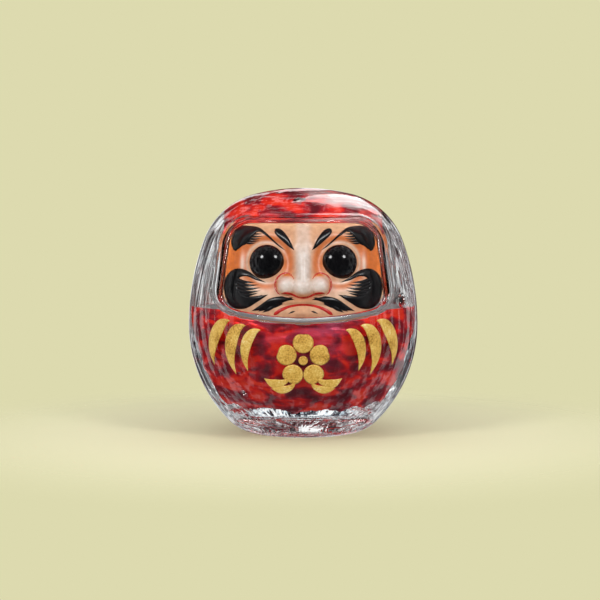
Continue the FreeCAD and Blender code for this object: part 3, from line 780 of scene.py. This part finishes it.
def dome(x, z, centre_x, centre_z, radius_x, radius_z, height):
    """A bump with a full round top and a steep foot."""
    away = ((x - centre_x) / radius_x) ** 2 + ((z - centre_z) / radius_z) ** 2
    return height * max(0.0, 1 - away) ** 0.6


def relief(x, z):
    """How far the face stands out from its plate, in millimetres."""
    side = abs(x)
    ridge = mix(4.6, 1.0, smoothstep(68, 93, z)) * smoothstep(62.5, 66.5, z)
    nose = ridge * math.exp(-((x / mix(4.6, 3.1, smoothstep(66, 74, z))) ** 2))
    nose = max(nose, dome(x, z, 0, 67.9, 5.6, 4.8, 5.0))
    nose = max(nose, dome(side, z, WING.x, WING.y, 4.9, 4.5, 3.4))
    height = nose
    from_eye = math.hypot(side - EYE.x, z - EYE.y)
    height -= 1.0 * math.exp(-(((from_eye - 8.6) / 2.6) ** 2)) * (1 - smoothstep(1, 3, nose))
    height += bell(side, z, 20, 89.5, 10, 4.5, 1.0)
    height += bell(side, z, 23, 66, 8, 6, 0.9)
    height += bell(side, z, 5, 88, 2.4, 6, 0.7)
    height += bell(x, z, 0, 61.8, 12, 1.9, 0.9)
    height += bell(x, z, 0, 56.4, 8, 1.8, 0.9)
    height -= bell(x, z, 0, 59.6, 11, 0.9, 0.6)
    return height


# %% [markdown]
# The paint is worked out the same way: one flesh tone, then softly edged patches laid over it,
# orange beside and between the eyes, pale on the nose and cheeks, and a darker painted shade
# under and beside the nose, where its relief would shade the face.

# %% Face paint
PEACH, ORANGE, PALE = linear("D4A27C"), linear("D06A1C"), linear("DACFC7")
# The second colour on the next line is painted shade, laid under and beside the nose.
CHEEK, PAINTED_NOSE_SHADE, BROWN = linear("DCBEA5"), linear("CA7546"), linear("A25728")


def lay(colour, paint, share):
    return tuple(mix(a, b, max(0.0, min(1.0, share))) for a, b in zip(colour, paint))


def paint_at(x, z):
    """The colour of the face at a place, as linear RGBA."""
    side = abs(x)
    from_eye = math.hypot(side - EYE.x, z - EYE.y)
    colour = PEACH
    colour = lay(colour, CHEEK, bell(side, z, 17, 66.5, 8, 5, 1.0))
    temple = smoothstep(21.5, 26.0, side) * smoothstep(68, 73, z) * (1 - smoothstep(88, 94, z))
    colour = lay(colour, ORANGE, temple)
    colour = lay(colour, ORANGE, 0.85 * math.exp(-(((from_eye - 10.2) / 1.8) ** 2)))
    colour = lay(colour, CHEEK, 0.8 * math.exp(-(((from_eye - 8.6) / 0.6) ** 2)))
    colour = lay(colour, CHEEK, 0.9 * bell(side, z, 26.2, 75.5, 0.8, 5, 1.0))
    colour = lay(colour, ORANGE, bell(side, z, 7.2, 77, 2.0, 7.5, 0.95))
    colour = lay(colour, ORANGE, bell(side, z, 12.5, 88.0, 5.0, 2.2, 0.6))
    # Painted shade: a darker tone in the crease beside each nose wing.
    colour = lay(colour, PAINTED_NOSE_SHADE, bell(side, z, 12.6, 68, 2.0, 4, 0.5))
    bridge = math.exp(-((side / mix(4.4, 3.2, smoothstep(66, 72, z))) ** 4)) * smoothstep(63.5, 66, z)
    colour = lay(colour, PALE, bridge * mix(0.95, 0.45, smoothstep(80, 88, z)))
    colour = lay(colour, PALE, dome(side, z, WING.x, WING.y, 4.3, 3.9, 1.0))
    # Painted shade under the nose wings and under the nose.
    colour = lay(colour, PAINTED_NOSE_SHADE, bell(side, z, WING.x - 1.0, 64.6, 3.2, 1.1, 0.7))
    colour = lay(colour, PAINTED_NOSE_SHADE, bell(x, z, 0, 62.7, 6.5, 1.2, 0.8))
    colour = lay(colour, BROWN, bell(side, z, 0, 94.6, 40, 0.8, 0.35))
    return colour


# %% Wrap the face plate
CORNER_POWER = 8
FACE_COLUMNS, FACE_ROWS = 230, 140


def face_outline_place(u, v):
    """Where a sheet's point (u, v) falls in the opening: x and z in millimetres."""
    across, up = 2 * u - 1, 2 * v - 1
    pull = 1 / (1 + CORNER_POWER)
    wide = across * (1 - pull * abs(up) ** CORNER_POWER)
    high = up * (1 - pull * abs(across) ** CORNER_POWER)
    half = mix(LOWER_HALF, UPPER_HALF, (high + 1) / 2) + PLATE_LAP
    x = wide * half
    z = mix(WINDOW_BOTTOM - PLATE_LAP, WINDOW_TOP + PLATE_LAP_TOP, (high + 1) / 2)
    return x, z + (1 - high) / 2 * x * x / (2 * BOTTOM_SWEEP)


def face():
    bm = bmesh.new()

    def front(u, v):
        x, z = face_outline_place(u, v)
        return on_front(x, z, FACE_FRONT + relief(x, z))

    def back(u, v):
        x, z = face_outline_place(u, v)
        return on_front(x, z, FACE_BACK)

    for place in (front, back):
        wrap_grid(bm, FACE_COLUMNS, FACE_ROWS, place)
    rims = [edge for edge in bm.edges if edge.is_boundary]
    bmesh.ops.bridge_loops(bm, edges=rims)
    bmesh.ops.recalc_face_normals(bm, faces=bm.faces[:])
    layer = bm.verts.layers.float_color.new("paint")
    for vert in bm.verts:
        vert[layer] = paint_at(vert.co.x / MM, vert.co.z / MM)
    return new_piece("face_porcelain", bm, PORCELAIN, ("face_plate",))


face()

# %% [markdown]
# ## Black glass eyes
# Each eye is a polished black cabochon. A turned arc gives its dome; two lamps in the room set
# the two small lights that make the doll look awake.


# %% Turn the eyes
EYE_DOME, EYE_SEAT, EYE_EDGE = 4.2, 2.2, 0.4
EYE_TURN, EYE_LIFT = math.radians(12.0), math.radians(5.0)
EYE_STEPS = 22


def eye(name, hand, node):
    """A dome on a short post, sunk in the face and turned a little outwards and up."""
    bm = bmesh.new()
    radius = (EYE_RADIUS**2 + EYE_DOME**2) / (2 * EYE_DOME)
    edge_turn = math.asin(EYE_RADIUS / radius)
    points = [Vector((r, -EYE_SEAT)) for r in (0.0, EYE_RADIUS - EYE_EDGE)]
    points.append(Vector((EYE_RADIUS, EYE_EDGE - EYE_SEAT)))
    for index in range(EYE_STEPS + 1):
        turn = edge_turn * (1 - index / EYE_STEPS)
        points.append(Vector((radius * math.sin(turn), radius * math.cos(turn) - radius + EYE_DOME)))
    turn_profile(bm, points, 64)
    close_skin(bm)
    facing = Vector((math.sin(EYE_TURN) * hand, -1.0, math.sin(EYE_LIFT)))
    turn = facing.to_track_quat("Z", "X").to_matrix()
    bmesh.ops.rotate(bm, verts=bm.verts[:], cent=(0, 0, 0), matrix=turn)
    seat = on_front(EYE.x * hand, EYE.y, FACE_FRONT)
    bmesh.ops.translate(bm, verts=bm.verts[:], vec=seat)
    return new_piece(name, bm, BLACK_GLASS, (node,))


eye("eye_left_cabochon", 1, "eye_left")
eye("eye_right_cabochon", -1, "eye_right")

# %% [markdown]
# ## Brush strokes
# Brows, beard and moustache are single loaded strokes of enamel that stand up from the face
# and end in hairs. A stroke is a spine of (x, z, half width) points: a smooth curve through
# them, a sheet wrapped round it with a domed top, and pointed ends. Hairs are strokes too.


# %% Stroke helpers
def along_spine(spine, share):
    """A smooth point (x, z, half width) part of the way along a spine."""
    place = share * (len(spine) - 1)
    index = min(int(place), len(spine) - 2)
    t = place - index
    before, start = spine[max(index - 1, 0)], spine[index]
    end, after = spine[index + 1], spine[min(index + 2, len(spine) - 1)]
    return [
        0.5
        * (2 * b + (c - a) * t + (2 * a - 5 * b + 4 * c - d) * t * t + (3 * b - a - 3 * c + d) * t**3)
        for a, b, c, d in zip(before, start, end, after)
    ]


def add_stroke(bm, spine, base, rise, along=48, round_section=14):
    """Adds one closed stroke; base(x, z) is the surface it lies on, rise its thickness."""

    def place(u, v):
        x, z, half = along_spine(spine, u)
        near = along_spine(spine, min(1.0, u + 0.01))
        far = along_spine(spine, max(0.0, u - 0.01))
        run = Vector((near[0] - far[0], near[1] - far[1])).normalized()
        half = max(0.0, half)
        across, up = math.cos(2 * math.pi * v), math.sin(2 * math.pi * v)
        x += run.y * half * across
        z -= run.x * half * across
        full = min(1.0, half / 0.8)
        lift = rise * full * up if up > 0 else 0.35 * up
        return on_front(x, z, base(x, z) + lift)

    wrap_grid(bm, along, round_section, place)


def on_face(x, z):
    """The painted surface of the face."""
    return FACE_FRONT + relief(x, z)


def mirrored(spine, hand):
    return [(x * hand, z, half) for x, z, half in spine]


def both_ways(spine):
    """A spine that starts in the middle, carried on to its mirror image."""
    return mirrored(spine[:0:-1], -1) + spine


def stroke_piece(name, spines, base, rise, material, nodes):
    bm = bmesh.new()
    for count, spine in enumerate(spines):
        add_stroke(bm, spine, base, rise * (1 - 0.12 * min(count, 3)))
    close_skin(bm, 0.000004)
    return new_piece(name, bm, material, nodes)


def fan(start, end, tips, half):
    """Hairs that leave a line from start to end and curve to their tips."""
    hairs = []
    for index, tip in enumerate(tips):
        share = index / max(1, len(tips) - 1)
        root = Vector(start).lerp(Vector(end), share)
        goal = Vector(tip)
        bow = Vector((goal.x - root.x, goal.y - root.y))
        middle = root.lerp(goal, 0.5) + Vector((-bow.y, bow.x)) * 0.08
        hairs.append([(root.x, root.y, half), (middle.x, middle.y, half * 0.8), (goal.x, goal.y, 0.0)])
    return hairs


# %% The strokes of the face
BROW = [
    (7.4, 82.6, 0.0), (10.2, 84.6, 0.3), (13.2, 87.2, 0.4), (16.2, 89.8, 0.55),
    (19.2, 91.6, 0.9), (22.4, 91.0, 2.3), (25.8, 89.3, 4.1), (28.4, 86.3, 3.2),
    (29.2, 83.4, 1.5), (28.9, 82.3, 0.0),
]
BROW_HAIRS = fan(
    (24.6, 92.2), (26.0, 86.4),
    ((17.8, 90.7), (17.3, 89.7), (17.2, 88.7), (17.8, 87.7), (18.6, 86.8), (20.0, 85.9)), 0.6,
)
FROWN = [
    (3.7, 82.8, 0.0), (5.6, 85.0, 0.9), (7.8, 87.7, 1.5), (10.0, 90.0, 1.7), (11.6, 91.3, 1.1),
    (12.2, 91.7, 0.0),
]
BEARD = [
    (15.6, 69.1, 0.0), (19.8, 70.6, 0.6), (24.2, 72.8, 1.2), (28.4, 72.7, 2.2), (31.0, 69.6, 2.9),
    (31.1, 65.6, 3.2), (29.0, 61.8, 3.8), (25.2, 60.7, 2.9), (20.6, 61.9, 1.5), (14.8, 64.1, 0.0),
]
BEARD_HAIRS = fan(
    (30.2, 71.0), (28.4, 62.6),
    ((20.2, 69.2), (18.7, 68.2), (17.9, 67.0), (18.0, 65.8), (18.9, 64.8), (17.0, 64.0)), 0.8,
)
MOUSTACHE = [
    (3.5, 62.0, 0.0), (6.6, 62.3, 0.7), (10.2, 61.8, 1.6), (13.8, 60.5, 1.9), (17.6, 58.7, 1.2),
    (22.0, 57.0, 0.0),
]
MOUSTACHE_HAIRS = [
    [(13.6, 60.4, 1.0), (16.6, 58.2, 0.8), (19.2, 56.8, 0.0)],
    [(11.4, 60.4, 1.0), (14.6, 58.0, 0.8), (17.4, 56.4, 0.0)],
    [(9.0, 60.8, 0.8), (11.8, 59.2, 0.6), (14.6, 58.0, 0.0)],
    [(12.0, 62.0, 0.9), (9.4, 63.0, 0.5), (8.0, 63.3, 0.0)],
    [(7.6, 62.0, 0.7), (5.4, 62.7, 0.4), (4.2, 62.9, 0.0)],
]
MOUTH = both_ways(
    [(0.0, 59.9, 0.45), (5.2, 59.3, 0.5), (9.2, 57.8, 0.7), (11.6, 56.2, 0.7), (12.6, 55.5, 0.0)]
)
CHIN = [(3.2, 57.3, 0.0), (4.6, 56.9, 0.35), (6.4, 56.1, 0.0)]
NOSTRIL = [
    (3.9, 70.0, 0.0), (4.6, 72.0, 0.25), (7.4, 73.2, 0.32), (10.6, 71.6, 0.36), (11.9, 68.3, 0.42),
    (10.9, 65.2, 0.36), (9.6, 64.0, 0.0),
]
UNDER_NOSE = both_ways(
    [(0.0, 62.9, 0.4), (2.6, 63.4, 0.42), (5.2, 64.5, 0.46), (7.6, 64.9, 0.4), (9.4, 64.6, 0.0)]
)

SIDES = (("left", 1), ("right", -1))
for side, hand in SIDES:
    for stroke, spines, rise in (
        ("brow", [BROW] + BROW_HAIRS, 0.5),
        ("frown", [FROWN], 0.55),
        ("beard", [BEARD] + BEARD_HAIRS, 0.5),
        ("moustache", [MOUSTACHE] + MOUSTACHE_HAIRS, 0.45),
    ):
        node = f"{stroke}_{side}"
        both = [mirrored(spine, hand) for spine in spines]
        stroke_piece(node + "_enamel", both, on_face, rise, BLACK_ENAMEL, (node,))
    stroke_piece(
        f"nostril_line_{side}", [mirrored(NOSTRIL, hand)], on_face, 0.12, RED_ENAMEL,
        (),
    )
stroke_piece("mouth_enamel", [MOUTH], on_face, 0.25, RED_ENAMEL, ("mouth_line",))
stroke_piece("under_nose_line", [UNDER_NOSE], on_face, 0.12, RED_ENAMEL, ())
stroke_piece(
    "chin_enamel", [CHIN, mirrored(CHIN, -1)], on_face, 0.2, BLACK_ENAMEL,
    ("chin_marks",),
)

# %% [markdown]
# ## Gilding on the glass
# Six crescent strokes stand for the folds of the robe, and a plum blossom with two leaves sits
# on the chest. They are raised gilding: a thin cushion of gold with a rounded edge.

# %% Gold strokes and emblem
ROBE_STROKES = {
    "inner": [(17.9, 49.4, 0.0), (19.5, 49.1, 0.9), (21.5, 47.9, 1.9), (23.2, 45.6, 2.3),
              (24.3, 42.6, 2.25), (24.8, 39.2, 1.8), (24.6, 35.6, 1.1), (23.5, 31.5, 0.0)],
    "middle": [(24.3, 51.0, 0.0), (26.0, 50.8, 1.0), (28.2, 49.4, 2.1), (29.9, 46.6, 2.6),
               (30.8, 43.0, 2.6), (31.1, 39.0, 2.1), (30.5, 34.6, 1.2), (28.6, 29.7, 0.0)],
    "outer": [(31.2, 52.8, 0.0), (32.8, 52.6, 1.0), (35.0, 51.2, 2.1), (36.9, 48.3, 2.5),
              (38.3, 44.8, 2.3), (39.1, 41.0, 1.8), (39.2, 37.2, 1.0), (38.3, 32.9, 0.0)],
}


def on_glass(x, z):
    return 0.0


for place, spine in ROBE_STROKES.items():
    for side, hand in SIDES:
        node = f"robe_stroke_{side}_{place}"
        stroke_piece(
            node + "_gold", [mirrored(spine, hand)], on_glass, GOLD_RISE, GOLD, (node,)
        )

EMBLEM = Vector((0.0, 36.6))


def add_patch(bm, centre, outline, rise, rings=10, around=48):
    """A domed cushion of gold inside outline(turn), a distance from its centre in mm."""

    def place(u, v):
        turn = 2 * math.pi * v
        share = 2 * u if u < 0.5 else 2 - 2 * u
        spread = outline(turn) * share
        x = centre.x + spread * math.cos(turn)
        z = centre.y + spread * math.sin(turn)
        lift = rise * (1 - share**6) if u < 0.5 else -0.2
        return on_front(x, z, lift)

    wrap_grid(bm, 2 * rings, around, place)


def emblem():
    bm = bmesh.new()
    for petal in range(5):
        lean = math.radians(90 + 72 * petal)
        centre = EMBLEM + Vector((math.cos(lean), math.sin(lean))) * 7.0

        def petal_edge(turn, lean=lean):
            off = math.cos(turn - lean)
            return 4.4 + 0.5 * off - 0.7 * max(0.0, off) ** 12

        add_patch(bm, centre, petal_edge, GOLD_RISE)
    add_patch(bm, EMBLEM, lambda turn: 2.0, GOLD_RISE)
    for hand in (1, -1):
        for spine in (
            [(5.0, 29.4, 0.0), (8.4, 27.0, 1.3), (12.6, 26.4, 1.9), (16.6, 28.6, 0.0)],
            [(3.0, 27.6, 0.0), (5.4, 24.8, 1.2), (9.4, 23.6, 1.6), (13.6, 24.2, 0.0)],
        ):
            add_stroke(bm, mirrored(spine, hand), on_glass, GOLD_RISE)
    close_skin(bm, 0.000004)
    return new_piece("chest_emblem_gold", bm, GOLD, ("chest_emblem",))


emblem()

# %% [markdown]
# ## The bead
# One clear bead, drawn and melted in a flame, sits in a cup ground in the side of the shell.
# The cup is a hair larger than the bead, and that thin air gap is what makes its rim sparkle.
# A bubble blown in the middle turns the bead's edge into a bright ring.


# %% The bead
def ball(bm, centre, radius):
    bmesh.ops.create_icosphere(bm, subdivisions=4, radius=radius)
    bmesh.ops.translate(bm, verts=bm.verts[:], vec=centre)


BUBBLE_SHARE = 0.78
CUP_GAP = 0.04 * MM


def glass_bead():
    low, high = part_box("glass_bead")
    radius = (high.x - low.x) / 2
    cup = bmesh.new()
    ball(cup, (low + high) / 2, radius + CUP_GAP)
    combine(SHELL, loose_object("cup", cup), "DIFFERENCE")
    bm = bmesh.new()
    bmesh.ops.create_icosphere(bm, subdivisions=4, radius=BUBBLE_SHARE * radius)
    bmesh.ops.reverse_faces(bm, faces=bm.faces[:])
    bmesh.ops.create_icosphere(bm, subdivisions=4, radius=radius)
    bmesh.ops.translate(bm, verts=bm.verts[:], vec=(low + high) / 2)
    return new_piece("glass_bead_clear", bm, BEAD_GLASS, ("glass_bead",))


glass_bead()

# %% [markdown]
# ## The room
# A pale floor that fades into a pale ground, soft lamps, and a studio of bright panels between
# darker gaps, because clear glass shows nothing but what is around it. Light Path nodes keep two
# rooms apart: an even one lights the pieces, and the panels meet only a ray that comes straight
# from the glass or a gloss. The front of the room is dark, so the belly and the eyes stay deep.

# %% Floor
GROUND = "DDDAAF"
FLOOR_REACH = 0.30


def floor():
    bm = bmesh.new()
    bmesh.ops.create_circle(bm, cap_ends=True, segments=96, radius=FLOOR_REACH)
    piece = loose_object("floor", bm)
    material, tree, place = new_material("pale_floor")
    away = add(tree, "VectorMath", {0: place}, operation="LENGTH")
    fade = add(
        tree, "MapRange", {"Value": away, "From Min": 0.07, "From Max": 0.2},
        interpolation_type="SMOOTHSTEP",
    )
    paper = add(tree, "BsdfDiffuse", {"Color": linear("E4E1BC")})
    open_air = add(tree, "BsdfTransparent")
    mixed = add(tree, "MixShader", {0: fade, 1: paper, 2: open_air})
    add(tree, "OutputMaterial", {"Surface": mixed})
    piece.data.materials.append(material)
    piece.visible_transmission = False
    piece.visible_glossy = False


floor()


# %% Studio
def studio():
    world = bpy.data.worlds.new("studio")
    bpy.context.scene.world = world
    world.use_nodes = True
    tree = world.node_tree
    tree.nodes.clear()
    aim = add(tree, "TexCoord").outputs["Generated"]
    stretched = add(tree, "Mapping", {"Vector": aim, "Scale": (10.0, 10.0, 1.2)})
    panels = add(
        tree, "TexNoise", {"Vector": stretched, "Scale": 1.0, "Detail": 3.0, "Roughness": 0.65},
    )
    walls = ramp(
        tree, panels,
        ((0.44, "020203"), (0.48, "2C2226"), (0.505, "94645A"), (0.53, "8492A0"),
         (0.55, "FFFFFF"), (0.72, "FFFFFF")),
    )
    depths = ramp(
        tree, panels,
        ((0.42, "06080A"), (0.47, "344350"), (0.50, "5E3430"), (0.54, "B4CCDA"),
         (0.58, "FFFFFF"), (0.72, "FFFFFF")),
    )
    height = add(tree, "SeparateXYZ", {0: aim})
    below = add(tree, "MapRange", {"Value": height.outputs["Z"], "From Min": -0.1, "From Max": -0.4})
    around = add(tree, "Mix", {0: below, 6: walls, 7: depths}, data_type="RGBA")
    front = add(
        tree, "MapRange",
        {"Value": height.outputs["Y"], "From Min": -0.15, "From Max": -0.6, "To Max": 0.85},
    )
    shown = add(tree, "Mix", {0: front, 6: around, 7: linear("3A3A3E")}, data_type="RGBA")
    over = add(tree, "VectorMath", {0: aim, 1: (0.0, -0.55, 0.85)}, operation="DOT_PRODUCT")
    ceiling = add(
        tree, "MapRange", {"Value": over, "From Min": 0.1, "From Max": 0.8},
        interpolation_type="SMOOTHSTEP",
    )
    light = add(tree, "Mix", {0: ceiling, 6: linear("CECACC"), 7: linear("F2F0F0")}, data_type="RGBA")
    path = add(tree, "LightPath")
    shiny = add(
        tree, "Math", {0: path.outputs["Is Glossy Ray"], 1: path.outputs["Is Transmission Ray"]},
        operation="MAXIMUM",
    )
    direct = add(tree, "Math", {0: 0.5, 1: path.outputs["Diffuse Depth"]}, operation="GREATER_THAN")
    sharp = add(tree, "Math", {0: shiny, 1: direct}, operation="MULTIPLY")
    seen = add(tree, "Background", {"Color": linear(GROUND)})
    lit = add(tree, "Background", {"Color": light, "Strength": 0.9})
    panelled = add(tree, "Background", {"Color": shown, "Strength": 1.2})
    felt = add(tree, "MixShader", {0: sharp, 1: lit, 2: panelled})
    mixed = add(tree, "MixShader", {0: path.outputs["Is Camera Ray"], 1: felt, 2: seen})
    add(tree, "OutputWorld", {"Surface": mixed})


studio()


def lamp(name, place, aim, size, power, shape="DISK"):
    """An area lamp at place (metres) that faces aim."""
    data = bpy.data.lights.new(name, "AREA")
    data.shape = shape
    data.size = size
    data.energy = power
    item = bpy.data.objects.new(name, data)
    item.location = place
    item.rotation_euler = (Vector(aim) - Vector(place)).to_track_quat("-Z", "Y").to_euler()
    bpy.context.scene.collection.objects.link(item)
    return item


def card(name, place, aim, wide, high, power):
    """A lamp that only reflections show: it draws a highlight and lights nothing."""
    item = lamp(name, place, aim, wide, power, "RECTANGLE")
    item.data.size_y = high
    item.visible_diffuse = False
    item.visible_transmission = False
    return item


EYES_AT = (0.0, -0.04, 0.078)
LAMP_DISTANCE, LAMP_SIZE, LAMP_POWER = 0.9, 0.22, 2.8
for name, across in (("lamp_left", -0.66), ("lamp_right", 0.60)):
    aim = Vector((across, -0.62, 0.58)).normalized()
    lamp(name, Vector(EYES_AT) + aim * LAMP_DISTANCE, EYES_AT, LAMP_SIZE, LAMP_POWER)
# From behind and above, it draws the soft pale highlight on the crown.
card("card_crown", (0.23, 0.63, 0.71), (0.0, 0.0, 0.10), 0.40, 0.74, 2.4)

# %% Camera
CAMERA_AT = Vector((0.0, -0.700, 0.097))
CAMERA_AIM = Vector((-0.00144, 0.0, 0.05945))
LENS_MM, SENSOR_MM = 93.03, 36.0
# Light inside the glass is turned many times before it comes out, so it may bounce often.
scene = bpy.context.scene
scene.view_settings.view_transform = "Standard"
scene.cycles.max_bounces = 24
scene.cycles.glossy_bounces = 16
scene.cycles.transmission_bounces = 24
scene.cycles.transparent_max_bounces = 24
camera_data = bpy.data.cameras.new("camera")
camera_data.lens = LENS_MM
camera_data.sensor_width = SENSOR_MM
camera = bpy.data.objects.new("camera", camera_data)
camera.location = CAMERA_AT
camera.rotation_euler = (CAMERA_AIM - CAMERA_AT).to_track_quat("-Z", "Y").to_euler()
scene.collection.objects.link(camera)
scene.camera = camera
